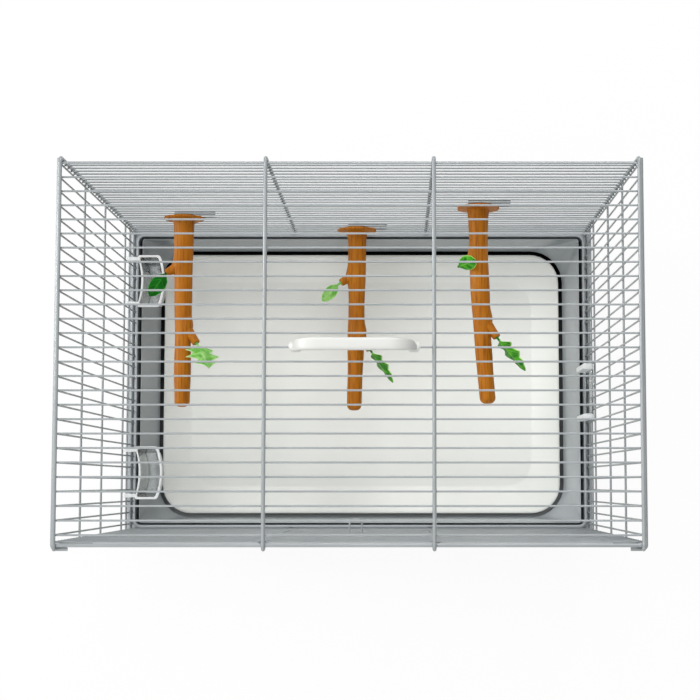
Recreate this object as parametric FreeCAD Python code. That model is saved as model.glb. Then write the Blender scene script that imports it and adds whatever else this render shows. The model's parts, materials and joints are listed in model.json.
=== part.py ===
"""Bird cage: a wire cage that lifts off a plastic base tub, with branch perches, cups, a door and a handle.

Millimetres. +X is to the right, +Y to the back and +Z up. The origin lies under the middle of the base.
"""
import FreeCAD
import Part
import math
import os

from FreeCAD import Vector

# Wire stock, and the gaps between pieces
rod_diameter = 3.6
side_rod_diameter = 2.2
wire_diameter = 1.8
door_rod_diameter = 2.6
latch_wire_diameter = 2.0
weld_gap = 0.05
seat_gap = 0.3
running_clearance = 0.35
socket_clearance = 0.1

# Wire cage, measured between rod axes
cage_width = 520.0
cage_depth = 346.5
cage_height = 400.0
wire_pitch = 12.8
first_wire_height = 6.4
middle_rod_spacing = 151.2
roof_bend_radius = 4.5
column_shift = 2.0
rod_offset_gap = 0.4
wire_overrun = 1.0
hook_leg = 13.6
top_rod_drop = 12.0
feeder_rod_rise = 30.7

# Heights of the other side rods, as shares of the cage's height
lower_rod_share = 0.148
middle_rod_share = 0.4375
upper_rod_share = 0.692

# Door in the front wall, in rows of wires counted up from the lowest
rows_under_door_count = 3
door_row_count = 10
door_side_gap = 1.5
hinge_eye_wire = 2.0
door_corner_radius = 6.0
hinge_eye_spacing = 134.0
latch_width = 13.0
latch_reach = 18.0
latch_bend_radius = 3.0
latch_lift = 9.5

# Base tub
base_height = 80.0
lip_height = 10.0
tub_wall = 2.5
tub_floor = 3.0
tub_draft = 3.0
tub_corner_radius = 9.0
tub_floor_chamfer = 3.0
flange_overhang = 3.0
flange_thickness = 2.5
skirt_depth = 14.0
skirt_wall = 2.0
lip_clearance = 1.2
foot_rim = 22.0
foot_recess = 1.0

# Litter tray
tray_width = 470.0
tray_depth = 308.0
tray_height = 14.0
tray_slope = 29.0
tray_rim = 3.0
tray_floor = 2.0
tray_wall = 2.0
tray_corner_radius = 34.0

# Handle on the roof
handle_spacing = 108.0
handle_shift = 4.8
handle_splay = 8.0
handle_rise = 38.0
handle_corner_radius = 16.0
handle_grip_width = 11.0
handle_grip_height = 8.0
handle_edge_radius = 2.5
handle_foot_diameter = 9.0
handle_foot_length = 10.0
handle_clip_slot = 1.5

# Branch perches
perch_length = 200.0
perch_root_diameter = 21.0
perch_tip_diameter = 16.5
tip_rounding = 6.0
stem_steps = 6
tip_steps = 3
flange_diameter = 45.0
perch_flange_thickness = 3.6
flange_collar_diameter = 29.0
flange_collar_height = 6.0
shank_diameter = 8.0
nut_hub_diameter = 21.0
nut_lever_reach = 34.0
nut_lever_width = 9.0
nut_thickness = 3.6
back_stub_length = 22.0
front_stub_length = 28.0
stub_root_diameter = 12.0
stub_tip_diameter = 8.5
back_stub_out = 0.82
back_stub_forward = 0.54
front_stub_out = 0.56
front_stub_forward = 0.8
stub_up = 0.22
socket_diameter = 5.0
socket_depth = 6.0
left_perch_share = 0.3635
left_perch_row_number = 8
middle_perch_x = -3.0
middle_perch_row_number = 2
middle_perch_bend = -3.0
right_perch_share = 0.2442
right_perch_row_number = 13
right_perch_bend = 9.0
back_stub_place = 0.25
front_stub_place = 0.577

# Leaves
leaf_thickness = 1.2
leaf_stalk = 5.0
leaf_stalk_diameter = 2.4
plain_leaf_length = 26.0
plain_leaf_width = 15.0
plain_leaf_widest = 0.45
lobed_leaf_length = 42.0
lobed_leaf_width = 38.0

# Half outline of a lobed leaf, as shares of its length and width from stalk to tip
lobed_leaf_half = ((0, 0), (0.1, 0.42), (0.3, 0.3), (0.42, 0.5), (0.62, 0.22), (0.74, 0.32), (1, 0))

# The way each leaf points and faces
left_plain_aim = Vector(-0.72, -0.68, 0.1)
left_plain_face = Vector(0, 0, 1)
left_lobed_aim = Vector(0.35, -0.6, 0.7)
left_lobed_face = Vector(0.35, 1, 0.7)
middle_plain_aim = Vector(-0.68, -0.72, 0.1)
middle_plain_face = Vector(0.7, -0.6, 0.5)
middle_lobed_aim = Vector(0.55, -0.78, -0.25)
middle_lobed_face = Vector(-0.82, -0.48, 0.32)
right_plain_aim = Vector(-0.1, 0.05, 0.95)
right_plain_face = Vector(0.4, -0.9, 0.2)
right_lobed_aim = Vector(0.63, -0.71, -0.2)
right_lobed_face = Vector(-0.78, -0.53, 0.32)

# Clear cups on the left wall
cup_width = 57.0
cup_depth = 24.0
cup_bulge = 5.0
cup_height = 42.0
cup_taper = 3.0
cup_wall = 1.6
cup_rim_overhang = 2.0
cup_inset = 7.5
back_cup_gaps_in = 5
front_cup_gaps_in = 4
cup_hook_gap_count = 2
hook_width = 5.0
hook_thickness = 1.8
hook_drop = 6.0

# Clear guard plate on the right wall
guard_width = 62.0
guard_height = 59.0
guard_lip_gap = 4.3
guard_thickness = 2.0
guard_rib_width = 6.5
guard_rib_depth = 10.0
guard_gap_number = -2
guard_hook_gap_count = 1

# Sizes that follow from the ones above
rod_radius = rod_diameter / 2
wire_radius = wire_diameter / 2
door_rod_radius = door_rod_diameter / 2
latch_wire_radius = latch_wire_diameter / 2
rod_pair = rod_diameter + weld_gap
rod_to_wire = rod_radius + wire_radius + weld_gap

flange_top = base_height - lip_height
cage_bottom = flange_top + seat_gap
roof_z = cage_bottom + cage_height
roof_wire_z = roof_z - rod_to_wire
rail_z = roof_z - rod_pair

end_rod_x = cage_width / 2
middle_rod_x = middle_rod_spacing / 2
back_y = cage_depth / 2
front_y = -cage_depth / 2
back_wire_y = back_y - rod_to_wire
front_wire_y = front_y + rod_to_wire
wire_inside_y = back_wire_y - wire_radius
side_rod_x = end_rod_x + rod_pair
side_wire_x = side_rod_x - rod_to_wire
wire_inside_x = side_wire_x - wire_radius
hook_y = back_y + rod_pair
front_corner_x = end_rod_x - rod_diameter - rod_offset_gap
jamb_x = middle_rod_x + rod_diameter + rod_offset_gap
wire_half_length = end_rod_x + wire_overrun

column_count = int((back_y - roof_bend_radius) // wire_pitch)
columns_y = [column_shift + wire_pitch * column for column in range(-column_count, column_count + 1)]
row_room = cage_height - rod_diameter - rod_pair - first_wire_height
rows_z = [cage_bottom + first_wire_height + wire_pitch * row for row in range(int(row_room // wire_pitch) + 1)]

feeder_rod_z = cage_bottom + feeder_rod_rise
door_rows_z = rows_z[rows_under_door_count:rows_under_door_count + door_row_count]
sill_z = door_rows_z[0] - wire_pitch / 2
door_top_z = door_rows_z[-1] + wire_pitch / 2
left_perch_x = -left_perch_share * cage_width
right_perch_x = right_perch_share * cage_width
perch_face_y = wire_inside_y - seat_gap
nut_front_y = back_wire_y + wire_radius + seat_gap
nut_back_y = nut_front_y + nut_thickness
flange_half_width = side_rod_x + rod_radius + flange_overhang
flange_half_depth = hook_y + rod_radius + flange_overhang
lip_half_width = wire_inside_x - lip_clearance
lip_half_depth = wire_inside_y - lip_clearance


def straight_rod(start, end, diameter):
    """Round bar between two points."""
    run = end - start
    return Part.makeCylinder(diameter / 2, run.Length, start, run)


def wire_along_x(half_length, y, z):
    """Thin wire across the cage, centred on its middle plane."""
    return straight_rod(Vector(-half_length, y, z), Vector(half_length, y, z), wire_diameter)


def bend_path(corners, radius):
    """Straight runs between corner points, with every corner rounded by one arc."""
    edges = []
    start = corners[0]
    for before, corner, after in zip(corners, corners[1:], corners[2:]):
        arriving = (corner - before).normalize()
        leaving = (after - corner).normalize()
        half_turn = arriving.getAngle(leaving) / 2
        reach = radius * math.tan(half_turn)
        arc_start = corner - arriving * reach
        arc_end = corner + leaving * reach
        arc_middle = corner + (leaving - arriving).normalize() * (radius / math.cos(half_turn) - radius)
        edges.append(Part.LineSegment(start, arc_start).toShape())
        edges.append(Part.Arc(arc_start, arc_middle, arc_end).toShape())
        start = arc_end
    edges.append(Part.LineSegment(start, corners[-1]).toShape())
    return edges


def bent_rod(edges, diameter):
    """Round bar swept along joined edges, from the first one's start."""
    path = Part.Wire(edges)
    first = edges[0]
    start = first.valueAt(first.FirstParameter)
    section = Part.Wire(Part.makeCircle(diameter / 2, start, first.tangentAt(first.FirstParameter)))
    return path.makePipeShell([section], True, False)


def rounded_rectangle(half_width, half_depth, radius, z):
    """Closed outline in a level plane, with four equal corner arcs."""
    x = half_width - radius
    y = half_depth - radius
    slant = radius * math.sqrt(0.5)
    edges = []
    for sx, sy, turn in ((1, 1, 0), (-1, 1, 1), (-1, -1, 0), (1, -1, 1)):
        side_point = Vector(sx * half_width, sy * y, z)
        end_point = Vector(sx * x, sy * half_depth, z)
        middle = Vector(sx * (x + slant), sy * (y + slant), z)
        start, end = (end_point, side_point) if turn else (side_point, end_point)
        edges.append(Part.Arc(start, middle, end).toShape())
    for arc, following in zip(list(edges), edges[1:4] + edges[:1]):
        edges.append(Part.LineSegment(arc.Vertexes[-1].Point, following.Vertexes[0].Point).toShape())
    return Part.Wire(Part.__sortEdges__(edges))


def rounded_block(half_width, half_depth, radius, low_z, high_z):
    """Upright block on a rounded rectangle."""
    face = Part.Face(rounded_rectangle(half_width, half_depth, radius, low_z))
    return face.extrude(Vector(0, 0, high_z - low_z))


def rounded_loft(sections):
    """Solid through level rounded rectangles, each given as half width, half depth, radius and height."""
    return Part.makeLoft([rounded_rectangle(*section) for section in sections], True, True)


def make_base_tub():
    """Moulded tub with drafted walls, a locating lip, and a turned-down rim flange under the wire cage."""
    floor_half_width = lip_half_width - tub_draft
    floor_half_depth = lip_half_depth - tub_draft
    inner_radius = tub_corner_radius - tub_wall
    outside = rounded_loft([
        (floor_half_width - tub_floor_chamfer, floor_half_depth - tub_floor_chamfer, tub_corner_radius, 0),
        (floor_half_width, floor_half_depth, tub_corner_radius, tub_floor_chamfer),
        (lip_half_width, lip_half_depth, tub_corner_radius, base_height),
    ])
    inside = rounded_loft([
        (floor_half_width - tub_wall - tub_floor_chamfer, floor_half_depth - tub_wall - tub_floor_chamfer,
         inner_radius, tub_floor),
        (floor_half_width - tub_wall, floor_half_depth - tub_wall, inner_radius, tub_floor + tub_floor_chamfer),
        (lip_half_width - tub_wall, lip_half_depth - tub_wall, inner_radius, base_height),
    ])
    flange = rounded_block(flange_half_width, flange_half_depth, tub_corner_radius,
                           flange_top - skirt_depth, flange_top)
    under_flange = rounded_block(flange_half_width - skirt_wall, flange_half_depth - skirt_wall,
                                 tub_corner_radius - skirt_wall, flange_top - skirt_depth,
                                 flange_top - flange_thickness)
    recess = rounded_block(floor_half_width - tub_floor_chamfer - foot_rim,
                           floor_half_depth - tub_floor_chamfer - foot_rim, tub_corner_radius, 0, foot_recess)
    return flange.cut(under_flange).fuse(outside).cut(inside).cut(recess).removeSplitter()


def make_litter_tray():
    """Shallow dish: flat floor, wide sloping sides and an upright outer skirt, standing in the tub."""
    half_width = tray_width / 2
    half_depth = tray_depth / 2
    bottom = tub_floor + seat_gap
    top = bottom + tray_height
    dish_width = half_width - tray_rim
    dish_depth = half_depth - tray_rim
    dish_radius = tray_corner_radius - tray_rim
    floor_width = dish_width - tray_slope
    floor_depth = dish_depth - tray_slope
    skirt = rounded_block(half_width, half_depth, tray_corner_radius, bottom, top)
    skirt_hollow = rounded_block(half_width - tray_wall, half_depth - tray_wall,
                                 tray_corner_radius - tray_wall, bottom, top - tray_wall)
    under_dish = rounded_loft([(floor_width, floor_depth, dish_radius, bottom),
                               (dish_width, dish_depth, dish_radius, top - tray_wall)])
    dish = rounded_loft([(floor_width, floor_depth, dish_radius, bottom + tray_floor),
                         (dish_width, dish_depth, dish_radius, top)])
    return skirt.cut(skirt_hollow).fuse(under_dish).cut(dish).removeSplitter()


def roof_and_back_rod(x):
    """One rod: curled round the front rail, straight over the roof, bent and straight down the back."""
    rail_centre = Vector(x, front_y, rail_z)
    curl_end = rail_centre + Vector(0, 0, -rod_pair)
    curl_middle = rail_centre + Vector(0, -rod_pair, 0)
    curl_start = rail_centre + Vector(0, 0, rod_pair)
    curl = Part.Arc(curl_end, curl_middle, curl_start).toShape()
    runs = bend_path([curl_start, Vector(x, back_y, roof_z), Vector(x, back_y, cage_bottom)], roof_bend_radius)
    return bent_rod([curl] + runs, rod_diameter)


def make_roof_and_back_rods():
    places = (-end_rod_x, -middle_rod_x, middle_rod_x, end_rod_x)
    return Part.makeCompound([roof_and_back_rod(x) for x in places])


def make_roof_wires():
    return Part.makeCompound([wire_along_x(wire_half_length, y, roof_wire_z) for y in columns_y])


def make_back_wires():
    return Part.makeCompound([wire_along_x(wire_half_length, back_wire_y, z) for z in rows_z])


def make_front_rods():
    """Top rail, two corner rods, two door jambs, and the sill that the door turns on."""
    rail_end = end_rod_x + rod_radius
    rods = [straight_rod(Vector(-rail_end, front_y, rail_z), Vector(rail_end, front_y, rail_z), rod_diameter)]
    for x in (-front_corner_x, -jamb_x, jamb_x, front_corner_x):
        top = rail_z - rod_radius - weld_gap
        rods.append(straight_rod(Vector(x, front_y, cage_bottom), Vector(x, front_y, top), rod_diameter))
    sill_end = jamb_x - rod_radius - weld_gap
    sill_start = Vector(-sill_end, front_y, sill_z)
    rods.append(straight_rod(sill_start, Vector(sill_end, front_y, sill_z), rod_diameter))
    return Part.makeCompound(rods)


def make_front_wires():
    """Rows of wires, each broken at the doorway where the door's own wires take its place."""
    wires = []
    doorway_edge = jamb_x - rod_radius
    for z in rows_z:
        if z in door_rows_z:
            for side in (-1, 1):
                start = Vector(side * doorway_edge, front_wire_y, z)
                end = Vector(side * wire_half_length, front_wire_y, z)
                wires.append(straight_rod(start, end, wire_diameter))
        else:
            wires.append(wire_along_x(wire_half_length, front_wire_y, z))
    return Part.makeCompound(wires)


def make_side_rods(side):
    """Level rods outside the side wires: hooked round the front corner rod, cut off flush at the back one.

    The top and bottom rods are as thick as the corner rods, and those between them are thinner.
    """
    rods = []
    thick_heights = [cage_bottom + rod_radius, roof_z - top_rod_drop]
    thin_heights = [feeder_rod_z]
    for share in (lower_rod_share, middle_rod_share, upper_rod_share):
        thin_heights.append(cage_bottom + cage_height * share)
    for heights, diameter in ((thick_heights, rod_diameter), (thin_heights, side_rod_diameter)):
        inwards = (rod_diameter - diameter) / 2
        outer_x = side * (side_rod_x - inwards)
        leg_x = side * (side_rod_x - hook_leg)
        leg_y = inwards - hook_y
        for z in heights:
            corners = [Vector(leg_x, leg_y, z), Vector(outer_x, leg_y, z), Vector(outer_x, back_y + rod_radius, z)]
            rods.append(bent_rod(bend_path(corners, rod_pair), diameter))
    return Part.makeCompound(rods)


def make_side_wires(side):
    """Upright wires on the same pitch as the roof wires, which end just above them."""
    x = side * side_wire_x
    top = roof_wire_z - wire_radius - seat_gap
    return Part.makeCompound([straight_rod(Vector(x, y, cage_bottom), Vector(x, y, top), wire_diameter)
                              for y in columns_y])


def make_door_frame():
    """Bent rod closed by a straight bottom bar, with two hinge eyes that turn on the sill."""
    half_width = jamb_x - rod_radius - door_side_gap - door_rod_radius
    eye_radius = rod_radius + running_clearance + hinge_eye_wire / 2
    low = sill_z + rod_radius + 2 * running_clearance + door_rod_radius
    corners = [Vector(-half_width, front_y, low), Vector(-half_width, front_y, door_top_z),
               Vector(half_width, front_y, door_top_z), Vector(half_width, front_y, low)]
    bow = bent_rod(bend_path(corners, door_corner_radius), door_rod_diameter)
    bar_end = half_width + door_rod_radius
    bar = straight_rod(Vector(-bar_end, front_y, low), Vector(bar_end, front_y, low), door_rod_diameter)
    eye_centres = [Vector(side * hinge_eye_spacing / 2, front_y, sill_z) for side in (-1, 1)]
    eyes = [Part.makeTorus(eye_radius, hinge_eye_wire / 2, centre, Vector(1, 0, 0)) for centre in eye_centres]
    return bar.fuse([bow] + eyes).removeSplitter()


def make_door_wires():
    half_length = jamb_x - rod_radius - door_side_gap
    y = front_y + door_rod_radius + wire_radius + weld_gap
    return Part.makeCompound([wire_along_x(half_length, y, z) for z in door_rows_z])


def make_door_latch():
    """Catch bent from one wire: two eyes on the door's top bar, and a bow over the lintel wire."""
    half_width = latch_width / 2
    eye_radius = door_rod_radius + running_clearance + latch_wire_radius
    arm_z = door_top_z + latch_lift
    bow_y = front_y + latch_reach - half_width
    arms = []
    for side in (-1, 1):
        corners = [Vector(side * half_width, front_y, door_top_z + eye_radius),
                   Vector(side * half_width, front_y, arm_z), Vector(side * half_width, bow_y, arm_z)]
        arms.append(bent_rod(bend_path(corners, latch_bend_radius), latch_wire_diameter))
    bow = Part.Arc(Vector(-half_width, bow_y, arm_z), Vector(0, bow_y + half_width, arm_z),
                   Vector(half_width, bow_y, arm_z)).toShape()
    eyes = [Part.makeTorus(eye_radius, latch_wire_radius, Vector(side * half_width, front_y, door_top_z),
                           Vector(1, 0, 0)) for side in (-1, 1)]
    return bent_rod([bow], latch_wire_diameter).fuse(arms + eyes).removeSplitter()


def handle_section(start):
    """Rounded grip outline, square to a path that starts straight up."""
    outline = rounded_rectangle(handle_grip_height / 2, handle_grip_width / 2, handle_edge_radius, 0)
    outline.translate(start)
    return outline


def make_handle():
    """Arched grip on two clip feet, which are slotted below and turn on one roof wire."""
    x = handle_spacing / 2
    top_x = x - handle_splay
    y = column_shift
    low = roof_wire_z
    high = roof_wire_z + handle_rise - handle_grip_height / 2
    profile = ((-x, low), (-top_x, high), (top_x, high), (x, low))
    corners = [Vector(handle_shift + across, y, z) for across, z in profile]
    arch = Part.Wire(bend_path(corners, handle_corner_radius))
    handle = arch.makePipeShell([handle_section(corners[0])], True, False)
    bore_diameter = wire_diameter + 2 * running_clearance
    below = handle_foot_diameter
    for side in (-1, 1):
        foot_start = Vector(handle_shift + side * x - handle_foot_length / 2, y, low)
        along = Vector(handle_foot_length, 0, 0)
        handle = handle.fuse(straight_rod(foot_start, foot_start + along, handle_foot_diameter))
        slot_corner = foot_start + Vector(0, -handle_clip_slot / 2, -below)
        slot = Part.makeBox(handle_foot_length, handle_clip_slot, below, slot_corner)
        handle = handle.cut(straight_rod(foot_start, foot_start + along, bore_diameter)).cut(slot)
    return handle.removeSplitter()


def perch_point(x, z, bend, place):
    """Point on a perch's axis, from 0 at the wall flange to 1 at the tip. The bend grows with the square."""
    return Vector(x + bend * place * place, perch_face_y - perch_length * place, z)


def perch_radius(place):
    return (perch_root_diameter + (perch_tip_diameter - perch_root_diameter) * place) / 2


def back_stub(x, z, bend):
    """End and direction of the stub socket that forks to the left."""
    lean = Vector(-back_stub_out, -back_stub_forward, stub_up).normalize()
    return perch_point(x, z, bend, back_stub_place) + lean * back_stub_length, lean


def front_stub(x, z, bend):
    """End and direction of the stub socket that forks to the right."""
    lean = Vector(front_stub_out, -front_stub_forward, stub_up).normalize()
    return perch_point(x, z, bend, front_stub_place) + lean * front_stub_length, lean


def make_perch(x, z, bend):
    """Branch stem on a round wall flange, with a shank through the wires and two stub sockets for leaves."""
    root = perch_point(x, z, bend, 0)
    tip = perch_point(x, z, bend, 1)
    forward = Vector(0, -1, 0)
    circles = [Part.Wire(Part.makeCircle(perch_radius(step / stem_steps),
                                         perch_point(x, z, bend, step / stem_steps), forward))
               for step in range(stem_steps + 1)]
    for step in range(1, tip_steps + 1):
        turn = math.radians(90) * step / tip_steps
        radius = perch_radius(1) - tip_rounding * (1 - math.cos(turn))
        centre = tip + forward * tip_rounding * math.sin(turn)
        circles.append(Part.Wire(Part.makeCircle(radius, centre, forward)))
    stem = Part.makeLoft(circles, True, True)
    flange = straight_rod(root, root + forward * perch_flange_thickness, flange_diameter)
    flange = flange.makeChamfer(perch_flange_thickness / 3, [flange.Edges[0]])
    collar = Part.makeCone(flange_collar_diameter / 2, perch_tip_diameter / 2,
                           perch_flange_thickness + flange_collar_height, root, forward)
    shank = straight_rod(root, Vector(root.x, nut_back_y, root.z), shank_diameter)
    perch = stem.fuse([flange, collar, shank])
    stubs = ((back_stub(x, z, bend), back_stub_length), (front_stub(x, z, bend), front_stub_length))
    for (end, lean), length in stubs:
        perch = perch.fuse(Part.makeCone(stub_root_diameter / 2, stub_tip_diameter / 2, length,
                                         end - lean * length, lean))
    for (end, lean), length in stubs:
        perch = perch.cut(straight_rod(end, end - lean * socket_depth, socket_diameter))
    return perch.removeSplitter()


def make_perch_nut(x, z):
    """Nut with one round-ended lever, on the perch's shank behind the back wires."""
    centre = Vector(x, nut_front_y, z)
    back = Vector(0, nut_thickness, 0)
    lever_end = centre + Vector(nut_lever_reach - nut_lever_width / 2, 0, 0)
    lever_corner = centre - Vector(0, 0, nut_lever_width / 2)
    lever = Part.makeBox(lever_end.x - x, nut_thickness, nut_lever_width, lever_corner)
    hub = straight_rod(centre, centre + back, nut_hub_diameter)
    nut = hub.fuse([lever, straight_rod(lever_end, lever_end + back, nut_lever_width)])
    bore = straight_rod(centre, centre + back, shank_diameter + 2 * running_clearance)
    return nut.cut(bore).removeSplitter()


def plain_leaf_outline():
    """Two arcs that meet at the stalk and at the tip."""
    stalk = Vector(0, 0, 0)
    tip = Vector(plain_leaf_length, 0, 0)
    bulge = Vector(plain_leaf_length * plain_leaf_widest, plain_leaf_width / 2, 0)
    mirrored = Vector(bulge.x, -bulge.y, 0)
    return Part.Wire([Part.Arc(stalk, bulge, tip).toShape(), Part.Arc(tip, mirrored, stalk).toShape()])


def lobed_leaf_outline():
    """Ivy-like leaf: three pointed lobes on each side of the tip, with notches between them."""
    upper = [Vector(lobed_leaf_length * along, lobed_leaf_width * out, 0) for along, out in lobed_leaf_half]
    lower = [Vector(point.x, -point.y, 0) for point in reversed(upper[1:-1])]
    return Part.makePolygon(upper + lower + upper[:1])


def make_leaf(outline, stub, aim, face):
    """Flat blade on a round stalk, whose plug is pushed into a stub socket."""
    stub_end, lean = stub
    stalk_end = stub_end + lean * leaf_stalk
    plug_start = stub_end - lean * (socket_depth - socket_clearance)
    plug = straight_rod(plug_start, stub_end, socket_diameter - 2 * socket_clearance)
    stalk = plug.fuse(straight_rod(stub_end, stalk_end, leaf_stalk_diameter))
    blade = Part.Face(outline).extrude(Vector(0, 0, leaf_thickness))
    blade.translate(Vector(0, 0, -leaf_thickness / 2))
    turn = FreeCAD.Rotation(aim, Vector(), face, "XZY")
    blade.Placement = FreeCAD.Placement(stalk_end - lean * leaf_thickness, turn).multiply(blade.Placement)
    return stalk.fuse(blade)


def cup_outline(inset, z, y):
    """Level outline with straight ends, whose back and front both bulge towards the cage's middle."""
    back = -wire_inside_x + cup_inset + inset
    front = -wire_inside_x + cup_inset + cup_depth - inset
    half = cup_width / 2 - inset
    back_low = Vector(back, y - half, z)
    back_high = Vector(back, y + half, z)
    front_low = Vector(front, y - half, z)
    front_high = Vector(front, y + half, z)
    return Part.Wire([
        Part.LineSegment(back_low, front_low).toShape(),
        Part.Arc(front_low, Vector(front + cup_bulge, y, z), front_high).toShape(),
        Part.LineSegment(front_high, back_high).toShape(),
        Part.Arc(back_high, Vector(back + cup_bulge, y, z), back_low).toShape(),
    ])


def gap_centre_y(gap_number):
    """Middle of a gap between side wires, counted from the one behind the middle wire."""
    return column_shift + wire_pitch * (gap_number + 0.5)


def wall_hook(side, inner_x, gap_y):
    """Flat hook that reaches out between two side wires and turns down behind the feeder rod."""
    low = feeder_rod_z + side_rod_diameter / 2 + seat_gap
    outer = side_rod_x + rod_radius + seat_gap + hook_thickness
    near = abs(inner_x)
    arm = Part.makeBox(outer - near, hook_width, hook_thickness, Vector(near, gap_y - hook_width / 2, low))
    drop = Part.makeBox(hook_thickness, hook_width, hook_drop + hook_thickness,
                        Vector(outer - hook_thickness, gap_y - hook_width / 2, low - hook_drop))
    hook = arm.fuse(drop).removeSplitter()
    if side < 0:
        hook = hook.mirror(Vector(0, 0, 0), Vector(1, 0, 0))
    return hook


def make_cup(gap_number):
    """Clear tapered cup with a turned-out rim, hung from a side rod by two hooks."""
    y = gap_centre_y(gap_number)
    rim_z = feeder_rod_z + side_rod_diameter / 2 + seat_gap + hook_thickness
    low = rim_z - cup_height
    outside = Part.makeLoft([cup_outline(cup_taper, low, y), cup_outline(0, rim_z, y)], True, True)
    inside = Part.makeLoft([cup_outline(cup_taper + cup_wall, low + cup_wall, y),
                            cup_outline(cup_wall, rim_z, y)], True, True)
    rim = Part.Face(cup_outline(-cup_rim_overhang, rim_z - cup_wall, y)).extrude(Vector(0, 0, cup_wall))
    cup = outside.fuse(rim)
    back_x = -wire_inside_x + cup_inset + cup_wall
    for step in (-cup_hook_gap_count, cup_hook_gap_count):
        cup = cup.fuse(wall_hook(-1, back_x, gap_centre_y(gap_number + step)))
    return cup.cut(inside).removeSplitter()


def make_guard_plate():
    """Clear flat plate with a rib down each side, hung from a side rod by two hooks."""
    y = gap_centre_y(guard_gap_number)
    outer_x = wire_inside_x - seat_gap
    inner_x = outer_x - guard_thickness
    low = base_height + guard_lip_gap
    plate = Part.makeBox(guard_thickness, guard_width, guard_height, Vector(inner_x, y - guard_width / 2, low))
    for edge_y in (y - guard_width / 2, y + guard_width / 2 - guard_rib_width):
        plate = plate.fuse(Part.makeBox(guard_rib_depth, guard_rib_width, guard_height,
                                        Vector(inner_x - guard_rib_depth, edge_y, low)))
    for step in (-guard_hook_gap_count, guard_hook_gap_count):
        plate = plate.fuse(wall_hook(1, inner_x, gap_centre_y(guard_gap_number + step)))
    return plate.removeSplitter()


def export(name, shape):
    shape.exportStep("parts/" + name + ".step")


def main():
    os.makedirs("parts", exist_ok=True)
    export("base_tub", make_base_tub())
    export("litter_tray", make_litter_tray())
    export("roof_and_back_rods", make_roof_and_back_rods())
    export("roof_wires", make_roof_wires())
    export("back_wires", make_back_wires())
    export("front_rods", make_front_rods())
    export("front_wires", make_front_wires())
    for name, side in (("left", -1), ("right", 1)):
        export(name + "_side_rods", make_side_rods(side))
        export(name + "_side_wires", make_side_wires(side))
    export("door_frame", make_door_frame())
    export("door_wires", make_door_wires())
    export("door_latch", make_door_latch())
    export("handle", make_handle())
    perches = (
        ("left", left_perch_x, left_perch_row_number, 0,
         left_plain_aim, left_plain_face, left_lobed_aim, left_lobed_face),
        ("middle", middle_perch_x, middle_perch_row_number, middle_perch_bend,
         middle_plain_aim, middle_plain_face, middle_lobed_aim, middle_lobed_face),
        ("right", right_perch_x, right_perch_row_number, right_perch_bend,
         right_plain_aim, right_plain_face, right_lobed_aim, right_lobed_face),
    )
    for name, x, row, bend, plain_aim, plain_face, lobed_aim, lobed_face in perches:
        z = rows_z[row] + wire_pitch / 2
        export(name + "_perch", make_perch(x, z, bend))
        export(name + "_perch_nut", make_perch_nut(x, z))
        plain_leaf = make_leaf(plain_leaf_outline(), back_stub(x, z, bend), plain_aim, plain_face)
        lobed_leaf = make_leaf(lobed_leaf_outline(), front_stub(x, z, bend), lobed_aim, lobed_face)
        export(name + "_plain_leaf", plain_leaf)
        export(name + "_lobed_leaf", lobed_leaf)
    export("back_cup", make_cup(column_count - back_cup_gaps_in))
    export("front_cup", make_cup(front_cup_gaps_in - column_count))
    export("guard_plate", make_guard_plate())


main()
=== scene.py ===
"""Looks of the bird cage: finishes for its wire and plastic parts, and finer surfaces for the moulded ones.

The cage's CAD model is the frame. Sizes here are in millimetres and become metres in add_piece().
+X is to the right, +Y to the back and +Z up. The photograph looks down through the roof.
"""

import json
import math

import bmesh
import bpy
import numpy as np
from mathutils import Matrix, Vector


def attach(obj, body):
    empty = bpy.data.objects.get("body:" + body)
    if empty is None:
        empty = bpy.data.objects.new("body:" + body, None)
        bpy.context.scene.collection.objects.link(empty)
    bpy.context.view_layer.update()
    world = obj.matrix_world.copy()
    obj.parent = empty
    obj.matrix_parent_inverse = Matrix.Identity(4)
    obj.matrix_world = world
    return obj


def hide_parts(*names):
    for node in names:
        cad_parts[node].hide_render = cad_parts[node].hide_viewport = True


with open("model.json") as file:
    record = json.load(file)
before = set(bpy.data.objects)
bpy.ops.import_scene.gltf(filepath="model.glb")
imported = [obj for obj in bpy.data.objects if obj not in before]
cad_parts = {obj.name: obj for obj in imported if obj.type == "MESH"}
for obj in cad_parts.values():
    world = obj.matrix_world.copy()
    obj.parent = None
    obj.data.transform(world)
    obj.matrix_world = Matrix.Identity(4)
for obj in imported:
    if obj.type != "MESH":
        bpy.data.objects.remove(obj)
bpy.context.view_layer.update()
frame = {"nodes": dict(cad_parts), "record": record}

MM = 0.001


# Sizes and places in millimetres

WIRE_PITCH = 12.8

TUB_HALF_WIDTH, TUB_HALF_DEPTH = 258.8, 168.4
TUB_FLOOR_Z, FLANGE_UNDER_Z, FLANGE_Z, LIP_Z = 3, 67.5, 70, 80
FLANGE_REACH_X, FLANGE_REACH_Y = 9.65, 13.3
SKIRT_LOW_Z, SKIRT_WALL = 56, 2
GROOVE_Z, SHELF_HIGH_Z, SHELF_LOW_Z, SHELF_UNDER_Z = 46, 76, 17, 15.4

TRAY_HALF_WIDTH, TRAY_HALF_DEPTH, TRAY_CORNER = 235, 154, 34
TRAY_FOOT_Z, TRAY_RIM_Z, TRAY_WALL = 3.3, 17.3, 2

HANDLE_X, HANDLE_Y, HANDLE_WIRE_Z = 4.8, 2.0, 467.55
ARCH_LOW_Z, ARCH_TOP_Z, ARCH_LOW_X, ARCH_TOP_X, ARCH_CORNER = 471, 501.55, 53.2, 46, 15
CLIP_X, CLIP_RADIUS, CLIP_THICKNESS = 54, 2.9, 3.1

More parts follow.
